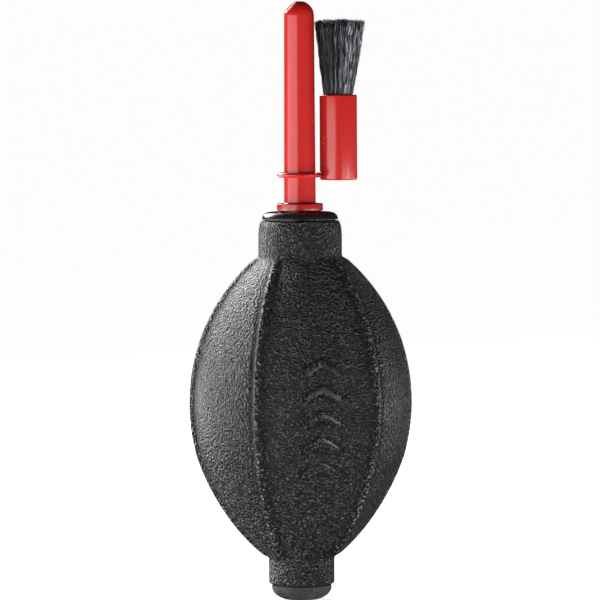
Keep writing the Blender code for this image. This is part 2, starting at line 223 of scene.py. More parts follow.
def rib_angles(radius):
    splay = asin(min(1.0, RIB_SPLAY_SLOPE + RIB_SPLAY_OFFSET / radius))
    return [-splay, splay, pi / 2, pi - splay, pi + splay, 1.5 * pi]


def panel_radius(radius, half_angle, angle):
    """Radius of a flattened panel at this angle from its middle. Its edges lie on the circle."""
    bend = radius * sin(half_angle) / sin(half_angle - PANEL_EDGE_TURN)
    setback = bend * cos(half_angle - PANEL_EDGE_TURN) - radius * cos(half_angle)
    return sqrt(bend**2 - (setback * sin(angle)) ** 2) - setback * cos(angle)


def rib_profile(distance):
    """A rib's height at a distance from its middle: its crest, and its crest less the groove."""
    across = distance / RIB_HALF_WIDTH
    crest = max(0.0, 1 - across**2) ** RIB_ROUNDNESS
    groove = exp(-((across - RIB_GROOVE_PLACE) / RIB_GROOVE_WIDTH) ** 2)
    return crest, crest - RIB_GROOVE_DEPTH * groove


def wall(radius, z, panels, rib_height, unevenness):
    """One ring of the bulb, and how far up a rib each of its points is, from 0 to 1."""
    ribs = rib_angles(radius)
    flank = RIB_REACH / radius
    flank_steps = [flank * step / FLANK_COLUMNS for step in range(FLANK_COLUMNS)]
    ring, lifts = [], []
    for rib, following in zip(ribs, ribs[1:] + [ribs[0] + 2 * pi]):
        width = following - rib
        inner = width - 2 * flank
        offsets = list(flank_steps)
        offsets += [flank + inner * step / PANEL_COLUMNS for step in range(PANEL_COLUMNS)]
        offsets += [width - flank] + [width - step for step in reversed(flank_steps[1:])]
        for offset in offsets:
            angle = rib + offset
            crest, lift = rib_profile(radius * min(offset, width - offset))
            flat = panel_radius(radius, width / 2, offset - width / 2)
            reach = radius + (flat - radius) * panels + rib_height * lift
            outwards = Vector((sin(angle), -cos(angle), 0))
            point = outwards * reach + Vector((0, 0, z))
            point += outwards * unevenness * noise.noise(point * SKIN_LUMPS_PER_METRE)
            ring.append(point)
            lifts.append(crest)
    return ring, lifts


def outer_radius(z):
    """The outside's own radius: both collars and the belly, with a small fillet at each crease."""
    collar = BASE_COLLAR_RADIUS if z < BELLY_WIDEST_Z else NECK_COLLAR_RADIUS
    return soft_max(collar, belly_radius(z), COLLAR_FILLET), belly_radius(z) - collar


def bulb_rings():
    """Rings up the outside, over the neck, and down through the bore, the cavity and the base.

    Each is radius, z, how far the panels show, the ribs' height, and the share of unevenness.
    """
    rounding = BASE_COLLAR_ROUNDING
    corner = (BASE_COLLAR_RADIUS - rounding, BASE_COLLAR_BOTTOM_Z + rounding)
    shoulder_size = (NECK_COLLAR_RADIUS - NECK_TOP_RADIUS, NECK_TOP_Z - NECK_COLLAR_SHOULDER_Z)
    rounded = arc(corner, (rounding, rounding), -pi / 2, 0, 6)
    plain = [(r, z, 0.0, 0.0, BASE_CORNER_UNEVENNESS) for r, z in rounded]
    low, high = corner[1], NECK_COLLAR_SHOULDER_Z
    for row in range(1, OUTER_ROWS):
        turn = row / OUTER_ROWS
        z = low + (high - low) * (0.5 - 0.5 * cos(pi * turn))
        radius, proud = outer_radius(z)
        shown = smooth_step(proud, -COLLAR_FILLET / 2, RIB_RISE)
        plain.append((radius, z, shown, RIB_HEIGHT * shown, shown))
    shoulder = arc((NECK_TOP_RADIUS, NECK_COLLAR_SHOULDER_Z), shoulder_size, 0, pi / 2, 14)
    plain += [(r, z, 0.0, 0.0, 0.0) for r, z in shoulder]
    plain += [((NECK_BORE_RADIUS + NECK_TOP_RADIUS) / 2, NECK_TOP_Z, 0.0, 0.0, 0.0)]
    neck_bore_z = (NECK_TOP_Z, BELLY_TOP_Z + CAVITY_INSET)
    plain += [(NECK_BORE_RADIUS, z, 0.0, 0.0, 0.0) for z in neck_bore_z]
    top, bottom = BELLY_TOP_Z - CAVITY_INSET, BELLY_BOTTOM_Z + CAVITY_INSET
    for row in range(CAVITY_ROWS + 1):
        z = top + (bottom - top) * row / CAVITY_ROWS
        plain.append((belly_radius(z) - BULB_WALL, z, 1.0, 0.0, 0.0))
    base_bore_z = (BASE_COLLAR_TOP_Z, BASE_COLLAR_BOTTOM_Z)
    plain += [(BASE_BORE_RADIUS, z, 0.0, 0.0, 0.0) for z in base_bore_z]
    return plain


# Grain: rounded pebbles of uneven size, with shallow creases between them.
PEBBLE_SHARE = 0.58  # of the relief. The rest is finer and uneven.
PEBBLE_SOFTNESS = 0.25
FINE_GRAINS = 1.2  # for each pebble, along a line
DRIFT_WAVES = 0.35  # for each pebble, along a line: slow bends in the rows of pebbles
DRIFT_LENGTH = 1.1  # pebbles
grain, given, made = new_group("moulded_grain", {"Grains per metre": 1400.0}, ["Height", "Crests"])
place = put(grain, "ShaderNodeTexCoord").outputs["Object"]
drift_scale = maths(grain, "MULTIPLY", given["Grains per metre"], DRIFT_WAVES)
drift = put(grain, "ShaderNodeTexNoise", {"Vector": place, "Scale": drift_scale, "Detail": 2.0})
drift_size = maths(grain, "DIVIDE", DRIFT_LENGTH, given["Grains per metre"])
drift_vector = put(
    grain,
    "ShaderNodeVectorMath",
    {0: drift.outputs["Color"], 1: (0.5, 0.5, 0.5)},
    operation="SUBTRACT",
).outputs[0]
drifted = put(
    grain,
    "ShaderNodeVectorMath",
    {0: drift_vector, "Scale": drift_size},
    operation="SCALE",
).outputs[0]
moved = put(grain, "ShaderNodeVectorMath", {0: place, 1: drifted}, operation="ADD").outputs[0]
pebbles = put(
    grain,
    "ShaderNodeTexVoronoi",
    {"Vector": moved, "Scale": given["Grains per metre"], "Smoothness": PEBBLE_SOFTNESS},
    feature="SMOOTH_F1",
).outputs["Distance"]
fine_scale = maths(grain, "MULTIPLY", given["Grains per metre"], FINE_GRAINS)
fine = put(grain, "ShaderNodeTexNoise", {"Vector": place, "Scale": fine_scale, "Detail": 2.0})
domes = ramp(grain, pebbles, 0.62, 0.12)
uneven = ramp(grain, fine.outputs[0], 0.30, 0.70)
pebble_relief = maths(grain, "MULTIPLY", domes, PEBBLE_SHARE)
relief = maths(grain, "MULTIPLY_ADD", uneven, 1 - PEBBLE_SHARE, pebble_relief)
grain.links.new(relief, made["Height"])
grain.links.new(ramp(grain, relief, 0.44, 0.78), made["Crests"])

# Handling: broad soft patches where fingers have polished or greyed a surface.
MOTTLES = 6.0  # for each patch, along a line
handling, given, made = new_group("handling", {"Patches per metre": 90.0}, ["Patches", "Mottle"])
place = put(handling, "ShaderNodeTexCoord").outputs["Object"]
broad = put(
    handling,
    "ShaderNodeTexNoise",
    {"Vector": place, "Scale": given["Patches per metre"], "Detail": 4.0, "Roughness": 0.6},
)
mottle_scale = maths(handling, "MULTIPLY", given["Patches per metre"], MOTTLES)
mottle_sockets = {"Vector": place, "Scale": mottle_scale, "Detail": 3.0}
mottle = put(handling, "ShaderNodeTexNoise", mottle_sockets)
handling.links.new(ramp(handling, broad.outputs[0], 0.38, 0.68), made["Patches"])
handling.links.new(ramp(handling, mottle.outputs[0], 0.35, 0.70), made["Mottle"])

# Dust: sparse pale specks of lint that cling to rubber and plastic.
dust, given, made = new_group("dust", {"Specks per metre": 700.0, "Share": 0.06}, ["Specks"])
place = put(dust, "ShaderNodeTexCoord").outputs["Object"]
cells = put(dust, "ShaderNodeTexVoronoi", {"Vector": place, "Scale": given["Specks per metre"]})
lot = put(dust, "ShaderNodeSeparateColor", {0: cells.outputs["Color"]}).outputs[0]
chosen = maths(dust, "LESS_THAN", lot, given["Share"])
near = ramp(dust, cells.outputs["Distance"], 0.16, 0.05)
dust.links.new(maths(dust, "MULTIPLY", chosen, near), made["Specks"])


LINT_ON_BLACK = (0.30, 0.29, 0.28)
WORN_RUBBER = (0.20, 0.20, 0.205)
MOTTLING = 0.05
DUSTING = 0.5
WEAR = 0.7
CREST_POLISH = 0.12
WORN_POLISH = 0.10
WORN_ETCHING = 0.4  # share of the grain's depth that is left on a rubbed rib
GRAIN_MIDDLE = 0.5


def rubber(name, pit_shade, crest, rough, grains, depth, polish):
    """Black moulded rubber. Ribs and marks carry the mask rubbed, and are paler and smoother."""
    material, tree, shader = new_material(name, Specular_IOR_Level=0.7)
    pebbled = effect(tree, grain, {"Grains per metre": grains})
    handled = effect(tree, handling)
    lint = effect(tree, dust)["Specks"]
    rubbed = put(tree, "ShaderNodeAttribute", attribute_name="rubbed").outputs["Fac"]
    # Painted shade and sheen: the pits between the pebbles get the dark colour pit_shade as painted
    # shade in the hollows. The crests get the paler crest colour, partly as wear and dust and partly
    # as painted sheen.
    base = colours(tree, pebbled["Crests"], pit_shade, crest)
    greyed = colours(tree, maths(tree, "MULTIPLY", handled["Mottle"], MOTTLING), base, crest)
    crest_wear = maths(tree, "MULTIPLY", rubbed, pebbled["Crests"])
    worn = colours(tree, maths(tree, "MULTIPLY", crest_wear, WEAR), greyed, WORN_RUBBER)
    dusty = colours(tree, maths(tree, "MULTIPLY", lint, DUSTING), worn, LINT_ON_BLACK)
    crested = maths(tree, "MULTIPLY_ADD", pebbled["Crests"], -CREST_POLISH, rough)
    smoother = maths(tree, "MULTIPLY_ADD", handled["Patches"], -polish, crested)
    roughness = maths(tree, "MULTIPLY_ADD", rubbed, -WORN_POLISH, smoother)
    etching = maths(tree, "MULTIPLY_ADD", rubbed, WORN_ETCHING - 1, 1.0)
    above_middle = maths(tree, "SUBTRACT", pebbled["Height"], GRAIN_MIDDLE)
    height = maths(tree, "MULTIPLY_ADD", above_middle, etching, GRAIN_MIDDLE)
    finish_surface(tree, shader, dusty, roughness, height, depth)
    return material


bulb_rubber = rubber(
    "bulb_rubber",
    pit_shade=(0.004, 0.004, 0.004),
    crest=(0.080, 0.080, 0.084),
    rough=0.37,
    grains=1400.0,
    depth=0.00120,
    polish=0.05,
)
sections = [
    (*wall(radius, z, panels, rib, SKIN_UNEVENNESS * even), even)
    for radius, z, panels, rib, even in bulb_rings()
]
bulb_skin = loft("bulb_skin", [ring for ring, lifts, shown in sections], bulb_rubber)
rubbed = [lift * shown for ring, lifts, shown in sections for lift in lifts]
bulb_skin.data.attributes.new("rubbed", "FLOAT", "POINT").data.foreach_set("value", rubbed)
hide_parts("bulb")
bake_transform(bulb_skin)


# ------------------------------------------------------------------------------- Airflow marks
# Five raised chevrons, moulded with the bulb on its front panel, point the way the air goes.
# They are polished in the mould, so they are smoother than the grain round them, and fingers
# have rubbed their flat tops a little paler.

MARK_COUNT = 5
MARK_LOWEST_Z = 0.0352
MARK_PITCH = 0.0064
MARK_HALF_WIDTH = 0.0047
MARK_SLOPE = 0.62
MARK_HALF_THICKNESS = 0.00115
MARK_HEIGHT = 0.00058
MARK_SUNK = 0.0003
MARK_NOSE = 0.0005  # how far the chevron's point is rounded back
MARK_END = 0.0009  # length of the rounding at its two ends
MARK_END_THICKNESS = 0.35
MARK_TURN = radians(1.5)
MARK_STATIONS = 56
MARK_TOP_WEAR = 0.55

# Half of a mark's section: share of its half thickness, share of its height, and wear.
mark_side = [(-1.0, -MARK_SUNK / MARK_HEIGHT, 0.0), (-1.0, 0.5, 0.0), (-0.936, 0.85, 0.5)]
mark_side += [(-0.808, 1.0, 1.0)]
mark_section = mark_side + [(0.0, 1.04, 1.0)]
mark_section += [(-side, rise, wear) for side, rise, wear in reversed(mark_side)]


def panel_surface(across, z):
    """The front panel's radius, and the angle of a point that lies across from its middle."""
    radius = outer_radius(z)[0]
    angle = MARK_TURN + across / radius
    return panel_radius(radius, rib_angles(radius)[1], angle), angle


def mark_rings(middle_z):
    rings = []
    for station in range(MARK_STATIONS + 1):
        across = MARK_HALF_WIDTH * (2 * station / MARK_STATIONS - 1)
        drop = MARK_SLOPE * (sqrt(across**2 + MARK_NOSE**2) - MARK_NOSE)
        past = max(0.0, abs(across) - (MARK_HALF_WIDTH - MARK_END)) / MARK_END
        rounded = sqrt(max(0.0, 1 - past**2))
        half = MARK_HALF_THICKNESS * (MARK_END_THICKNESS + (1 - MARK_END_THICKNESS) * rounded)
        ring = []
        for side, rise, wear in mark_section:
            z = middle_z - drop + half * side
            radius, angle = panel_surface(across, z)
            reach = radius + MARK_HEIGHT * rise
            ring.append(Vector((reach * sin(angle), -reach * cos(angle), z)))
        rings.append(ring)
    middles = [sum(ring, Vector()) / len(ring) for ring in (rings[0], rings[-1])]
    return [[middles[0]] * len(rings[0]), *rings, [middles[1]] * len(rings[0])]


mark_rubber = rubber(
    "mark_rubber",
    pit_shade=(0.007, 0.007, 0.008),
    crest=(0.026, 0.026, 0.028),
    rough=0.34,
    grains=2600.0,
    depth=0.00005,
    polish=0.06,
)
mark_wear = [MARK_TOP_WEAR * wear for side, rise, wear in mark_section]
for number in range(MARK_COUNT):
    rings = mark_rings(MARK_LOWEST_Z + MARK_PITCH * number)
    mark = loft(f"airflow_mark_{number + 1}", rings, mark_rubber)
    rubbed = [0.0] + mark_wear * (MARK_STATIONS + 1) + [0.0]
    mark.data.attributes.new("rubbed", "FLOAT", "POINT").data.foreach_set("value", rubbed)
    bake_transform(mark)


# ----------------------------------------------------------------------------------- Neck bush
# A ring of hard black plastic, turned smooth and glossy. Its stem is pushed into the bulb's neck
# and held there by a barb, and the nozzle turns in its bore.

GAP = 0.0003
BUSH_RADIUS = 0.0095
BUSH_SHOULDER_Z = 0.0956
BUSH_TOP_RADIUS = 0.0074
BUSH_TOP_Z = 0.0973
BUSH_BOTTOM_Z = 0.0845
BUSH_BORE_RADIUS = 0.0043
BUSH_BARB_RADIUS = 0.0074
BUSH_BARB_HEIGHT = 0.0008
BUSH_LOWER_EDGE = 0.00010
TURNED_SIDES = 144


def turned(outline, sides=TURNED_SIDES, centre_x=0.0):
    """Rings for a closed (radius, z) outline, turned about a vertical axis."""
    steps = [2 * pi * side / sides for side in range(sides)]
    return [[Vector((centre_x + r * cos(a), r * sin(a), z)) for a in steps] for r, z in outline]


# Scratches: hair-thin marks, mostly along the piece, that dull a polished surface.
SCRATCH_TILT = (0.12, 0.2, 0.0)
SCRATCH_STRETCH = (1.0, 1.0, 0.035)
SCRATCHES_PER_RIPPLE = 6.0
scratches, given, made = new_group("hair_scratches", {"Per metre": 500.0}, ["Marks", "Ripple"])
place = put(scratches, "ShaderNodeTexCoord").outputs["Object"]
tilted = put(scratches, "ShaderNodeMapping", {"Vector": place, "Rotation": SCRATCH_TILT})
drawn_sockets = {"Vector": tilted.outputs[0], "Scale": SCRATCH_STRETCH}
drawn = put(scratches, "ShaderNodeMapping", drawn_sockets)
thin_scale = maths(scratches, "MULTIPLY", given["Per metre"], SCRATCHES_PER_RIPPLE)
thin = put(
    scratches,
    "ShaderNodeTexNoise",
    {"Vector": drawn.outputs[0], "Scale": thin_scale, "Detail": 4.0, "Roughness": 0.7},
)
ripple_sockets = {"Vector": place, "Scale": given["Per metre"], "Detail": 1.0}
ripple = put(scratches, "ShaderNodeTexNoise", ripple_sockets)
scratches.links.new(ramp(scratches, thin.outputs[0], 0.60, 0.70), made["Marks"])
scratches.links.new(ripple.outputs[0], made["Ripple"])


LINT_ON_PLASTIC = (0.45, 0.43, 0.41)
LINT_COVER = 0.35
LINT_ROUGHNESS = 0.4
HANDLED_HAZE = 0.05
SCRATCH_DEPTH = 0.15  # as a share of the ripple's


def moulded_plastic(name, main, varied, rough, marks_rough, ripple_depth, specks, **plain):
    """Injection moulded plastic: a faint ripple, clouding in the colour, scratches and lint."""
    material, tree, shader = new_material(name, **plain)
    marked = effect(tree, scratches)
    handled = effect(tree, handling, {"Patches per metre": 160.0})
    lint = effect(tree, dust, {"Share": specks})["Specks"]
    clouded = colours(tree, handled["Patches"], main, varied)
    dusty = colours(tree, maths(tree, "MULTIPLY", lint, LINT_COVER), clouded, LINT_ON_PLASTIC)
    hazed = maths(tree, "MULTIPLY_ADD", handled["Patches"], HANDLED_HAZE, rough)
    scuffed = maths(tree, "MULTIPLY_ADD", marked["Marks"], marks_rough, hazed)
    roughness = maths(tree, "MULTIPLY_ADD", lint, LINT_ROUGHNESS, scuffed)
    cut = maths(tree, "MULTIPLY_ADD", marked["Marks"], -SCRATCH_DEPTH, marked["Ripple"])
    finish_surface(tree, shader, dusty, roughness, cut, ripple_depth)
    return material


gloss_black = moulded_plastic(
    "gloss_black_plastic",
    main=(0.008, 0.008, 0.009),
    varied=(0.013, 0.013, 0.014),
    rough=0.21,
    marks_rough=0.14,
    ripple_depth=0.00002,
    specks=0.05,
)
ring_bottom = NECK_TOP_Z + GAP
stem = NECK_BORE_RADIUS - GAP
barb_z = BUSH_BOTTOM_Z + BUSH_BARB_HEIGHT
outline = [(BUSH_BORE_RADIUS, BUSH_BOTTOM_Z), (stem, BUSH_BOTTOM_Z), (BUSH_BARB_RADIUS, barb_z)]
outline += [(stem, barb_z), (stem, ring_bottom)]
edge = BUSH_LOWER_EDGE
outline += arc((BUSH_RADIUS - edge, ring_bottom + edge), (edge, edge), -pi / 2, 0, 4)
shoulder_size = (BUSH_RADIUS - BUSH_TOP_RADIUS, BUSH_TOP_Z - BUSH_SHOULDER_Z)
outline += arc((BUSH_TOP_RADIUS, BUSH_SHOULDER_Z), shoulder_size, 0, pi / 2, 16)
outline += [(BUSH_BORE_RADIUS, BUSH_TOP_Z)]
neck_ring = loft("neck_ring", turned(outline), gloss_black)
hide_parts("neck_bush")
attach(neck_ring, "bulb")


# -------------------------------------------------------------------------------------- Nozzle
# A tapered tube of glossy red plastic, moulded round a steel core. Its stem snaps through the
# neck bush, the flange rests on it, and the domed tip has a slanted flat beside the air hole.

STEM_RADIUS = 0.0040
STEM_BOTTOM_Z = 0.0830
STEM_LIP_RADIUS = 0.0046
STEM_LIP_HEIGHT = 0.0012
FLANGE_RADIUS = 0.00575
FLANGE_TOP_Z = 0.0994
FLANGE_ROUNDING = 0.00022
FLANGE_FILLET = 0.00035
TUBE_BOTTOM_RADIUS = 0.00395
TUBE_TOP_RADIUS = 0.00374
TIP_TOP_Z = 0.1500
TIP_FLAT_RADIUS = 0.0009
AIR_BORE_RADIUS = 0.0012
AIR_MOUTH_RADIUS = 0.0006
AIR_MOUTH_LENGTH = 0.0050
TIP_CUT_ANGLE = radians(45)
TIP_CUT_DISTANCE = 0.00322
TIP_EASE = 0.00010
NOZZLE_SIDES = 192
DOME_ROWS = 56
TUBE_ROWS = 24

dome_z = TIP_TOP_Z - TUBE_TOP_RADIUS
mouth_z = dome_z + sqrt(TUBE_TOP_RADIUS**2 - TIP_FLAT_RADIUS**2)
tip_flats = [
    (Vector((0, 0, 1)), mouth_z - dome_z),
    (Vector((-sin(TIP_CUT_ANGLE), 0, cos(TIP_CUT_ANGLE))), TIP_CUT_DISTANCE),
]


def tip_reach(direction):
    """How far the tip's surface is from the dome's centre, with both flats eased into the dome."""
    reach = TUBE_TOP_RADIUS
    for facing, distance in tip_flats:
        towards = direction.dot(facing)
        if towards > 0.1:
            reach = -soft_max(-reach, -distance / towards, TIP_EASE)
    return reach


def tip_rings():
    """Rings over the dome, from its foot to the edge of the air hole."""
    last = pi / 2 - asin(AIR_MOUTH_RADIUS / hypot(AIR_MOUTH_RADIUS, mouth_z - dome_z))
    rings = []
    for row in range(1, DOME_ROWS + 1):
        rise = last * row / DOME_ROWS
        ring = []
        for side in range(NOZZLE_SIDES):
            a = 2 * pi * side / NOZZLE_SIDES
            direction = Vector((cos(rise) * cos(a), cos(rise) * sin(a), sin(rise)))
            ring.append(Vector((0, 0, dome_z)) + direction * tip_reach(direction))
        rings.append(ring)
    return rings


red_plastic = moulded_plastic(
    "red_plastic",
    main=(0.41, 0.013, 0.011),
    varied=(0.37, 0.011, 0.009),
    rough=0.16,
    marks_rough=0.06,
    ripple_depth=0.000008,
    specks=0.03,
    Specular_IOR_Level=0.68,
)
lip_top = STEM_BOTTOM_Z + STEM_LIP_HEIGHT
flange_bottom = BUSH_TOP_Z + GAP
rounding, fillet = FLANGE_ROUNDING, FLANGE_FILLET
outline = [(STEM_RADIUS, STEM_BOTTOM_Z), (STEM_LIP_RADIUS, lip_top - STEM_LIP_HEIGHT / 3)]
outline += [(STEM_LIP_RADIUS, lip_top), (STEM_RADIUS, lip_top), (STEM_RADIUS, flange_bottom)]
lower_edge = (FLANGE_RADIUS - rounding, flange_bottom + rounding)
upper_edge = (FLANGE_RADIUS - rounding, FLANGE_TOP_Z - rounding)
outline += arc(lower_edge, (rounding, rounding), -pi / 2, 0, 5)
outline += arc(upper_edge, (rounding, rounding), 0, pi / 2, 5)
corner = (TUBE_BOTTOM_RADIUS + fillet, FLANGE_TOP_Z + fillet)
outline += arc(corner, (fillet, fillet), -pi / 2, -pi, 6)
tube_foot = FLANGE_TOP_Z + fillet
for row in range(1, TUBE_ROWS + 1):
    share = row / TUBE_ROWS
    tube_radius = TUBE_BOTTOM_RADIUS + (TUBE_TOP_RADIUS - TUBE_BOTTOM_RADIUS) * share
    outline.append((tube_radius, tube_foot + (dome_z - tube_foot) * share))
mouth_bottom = TIP_TOP_Z - AIR_MOUTH_LENGTH
bore = [(AIR_MOUTH_RADIUS, mouth_bottom), (AIR_BORE_RADIUS, mouth_bottom - AIR_BORE_RADIUS)]
bore += [(AIR_BORE_RADIUS, STEM_BOTTOM_Z)]
rings = turned(outline, NOZZLE_SIDES) + tip_rings() + turned(bore, NOZZLE_SIDES)
nozzle_tube = loft("nozzle_tube", rings, red_plastic)
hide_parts("nozzle")
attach(nozzle_tube, "nozzle")


# -------------------------------------------------------------------------------- Brush holder
# A ferrule of the same red plastic. A thin ring, moulded with it and joined by a short web,
# slides on the nozzle. The tuft sits in the ferrule's upper cup, and the lower end is a socket.

BRUSH_X = 0.00985
FERRULE_RADIUS = 0.00468
FERRULE_BOTTOM_Z = 0.1052
FERRULE_TOP_Z = 0.1265
FERRULE_ROUNDING = 0.00036
SOCKET_RADIUS = 0.0040
SOCKET_TOP_Z = 0.1184
CUP_RADIUS = 0.00395
CUP_BOTTOM_Z = 0.1196
PARTITION_HOLE_RADIUS = 0.0009
RING_Z = 0.1065
RING_RADIUS = 0.00505
RING_WIRE_RADIUS = 0.00058
WEB_START_X = 0.0047
WEB_END_X = 0.0056
WEB_HALF_HEIGHT = 0.00058
WEB_HALF_WIDTH = 0.00062
WEB_FLARE = 0.00060
WEB_SIDES = 40
WEB_STATIONS = 12


def web_rings():
    """The web's sections, from the ring to the ferrule's wall, where it flares like a fillet."""
    rings = []
    for station in range(WEB_STATIONS + 1):
        share = station / WEB_STATIONS
        x = WEB_START_X + (WEB_END_X - WEB_START_X) * share
        flare = WEB_FLARE * share**3
        ring = []
        for side in range(WEB_SIDES):
            a = 2 * pi * side / WEB_SIDES
            across = (WEB_HALF_WIDTH + flare) * cos(a)
            up = (WEB_HALF_HEIGHT + flare) * sin(a)
            ring.append(Vector((x, across, RING_Z + up)))
        rings.append(ring)
    start = Vector((WEB_START_X, 0, RING_Z))
    end = Vector((WEB_END_X, 0, RING_Z))
    return [[start] * WEB_SIDES, *rings, [end] * WEB_SIDES]


rounding, bevel = FERRULE_ROUNDING, FERRULE_ROUNDING / 2
rim = FERRULE_RADIUS - rounding
outline = [(SOCKET_RADIUS, FERRULE_BOTTOM_Z + bevel), (SOCKET_RADIUS + bevel, FERRULE_BOTTOM_Z)]
outline += arc((rim, FERRULE_BOTTOM_Z + rounding), (rounding, rounding), -pi / 2, 0, 5)
outline += arc((rim, FERRULE_TOP_Z - rounding), (rounding, rounding), 0, pi / 2, 5)
outline += [(CUP_RADIUS + bevel, FERRULE_TOP_Z), (CUP_RADIUS, FERRULE_TOP_Z - bevel)]
outline += [(CUP_RADIUS, CUP_BOTTOM_Z), (PARTITION_HOLE_RADIUS, CUP_BOTTOM_Z)]
outline += [(PARTITION_HOLE_RADIUS, SOCKET_TOP_Z), (SOCKET_RADIUS, SOCKET_TOP_Z)]
brush_body = loft("brush_body", turned(outline, TURNED_SIDES, BRUSH_X), red_plastic)
wire = arc((RING_RADIUS, RING_Z), (RING_WIRE_RADIUS, RING_WIRE_RADIUS), 0, 2 * pi, 20)[:-1]
joined = [
    loft("joined_ring", turned(wire), red_plastic),
    loft("joined_web", web_rings(), red_plastic),
]
for other in joined:
    union = brush_body.modifiers.new(other.name, "BOOLEAN")
    union.object, union.operation, union.solver = other, "UNION", "EXACT"
bpy.context.view_layer.update()
depsgraph = bpy.context.evaluated_depsgraph_get()
whole = bpy.data.meshes.new_from_object(brush_body.evaluated_get(depsgraph))
brush_body.modifiers.clear()
brush_body.data = whole
whole.shade_smooth()
whole.set_sharp_from_angle(angle=EDGE_ANGLE)
for other in joined:
    bpy.data.objects.remove(other)
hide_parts("brush_holder")
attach(brush_body, "brush")


# --------------------------------------------------------------------------------- Bristle tuft
# Soft black bristles, set side by side in the ferrule's cup and trimmed nearly flat. They
# spread towards their ends, and a bead of clear resin in the cup holds their roots.

RESIN_THICKNESS = 0.0020
TUFT_ROOT_RADIUS = 0.00362
TUFT_MOUTH_RADIUS = 0.00378
TUFT_TIP_RADIUS = 0.00636
TUFT_TOP_Z = 0.1456
TUFT_LEAN = 0.00046
BRISTLES = 1500
BRISTLE_RADIUS = 0.00010
BRISTLE_STATIONS = 15
BRISTLE_SIDES = 3
BRISTLE_TAPER = 0.35
BRISTLE_WAVE = 0.00022
BRISTLE_FANNING = (-0.035, 0.02)  # how far a bristle may stray from its even place, as a share
BRISTLE_TONE_SPREAD = 0.45
ROOT_TONE = 0.75
TRIM_UNEVENNESS = 0.0006
TUFT_CROWN = 0.0003  # the outermost bristles are cut this much lower
TUFT_CLUMPS = 90
CLUMP_WAVE = 0.00022
CLUMP_WAVES = 2.6  # side to side turns between the ferrule and the tips
CLUMP_TONE = 0.22
CLUMP_TONE_SPREAD = 0.40
CLUMP_SHORTENING = 0.0007
NOZZLE_SHADOW_TONE = 0.15  # painted shadow of the nozzle: the bristles beside it get the least painted sheen
NOZZLE_SHADOW_START = -0.70
NOZZLE_SHADOW_END = 0.05
NOZZLE_CLEARANCE = 0.0002
GOLDEN_TURN = pi * (3 - sqrt(5))
BRISTLE_BLACK = (0.004, 0.004, 0.005)
# BRISTLE_SHINE is a painted highlight colour: the pale blue-grey streaks on the black bristles are
# painted sheen.
BRISTLE_SHINE = (0.62, 0.64, 0.74)
STREAKS_PER_METRE = 2600.0
STREAK_STRETCH = (1.0, 1.0, 0.10)
LEAST_SHEEN = 0.08

tuft_bottom = CUP_BOTTOM_Z + 2 * GAP + RESIN_THICKNESS
bristle, tree, shader = new_material("black_bristle", Specular_IOR_Level=0.6)
tone = put(tree, "ShaderNodeAttribute", attribute_name="tone").outputs["Fac"]
place = put(tree, "ShaderNodeTexCoord").outputs["Object"]
along = put(tree, "ShaderNodeMapping", {"Vector": place, "Scale": STREAK_STRETCH}).outputs[0]
streak_sockets = {"Vector": along, "Scale": STREAKS_PER_METRE, "Detail": 2.0}
streaks = put(tree, "ShaderNodeTexNoise", streak_sockets)
streaky = ramp(tree, streaks.outputs[0], 0.44, 0.62)
streak_sheen = maths(tree, "MULTIPLY_ADD", streaky, 1 - LEAST_SHEEN, LEAST_SHEEN)
sheen = maths(tree, "MULTIPLY", tone, streak_sheen)
# Painted sheen: each bristle's tone and the streak noise mix the painted highlight colour into the
# black.
bristle_colour = colours(tree, sheen, BRISTLE_BLACK, BRISTLE_SHINE)
bristle_rough = ramp(tree, streaks.outputs[0], 0.3, 0.7, 0.34, 0.52)
finish_surface(tree, shader, bristle_colour, bristle_rough, streaks.outputs[0], 0.00001)

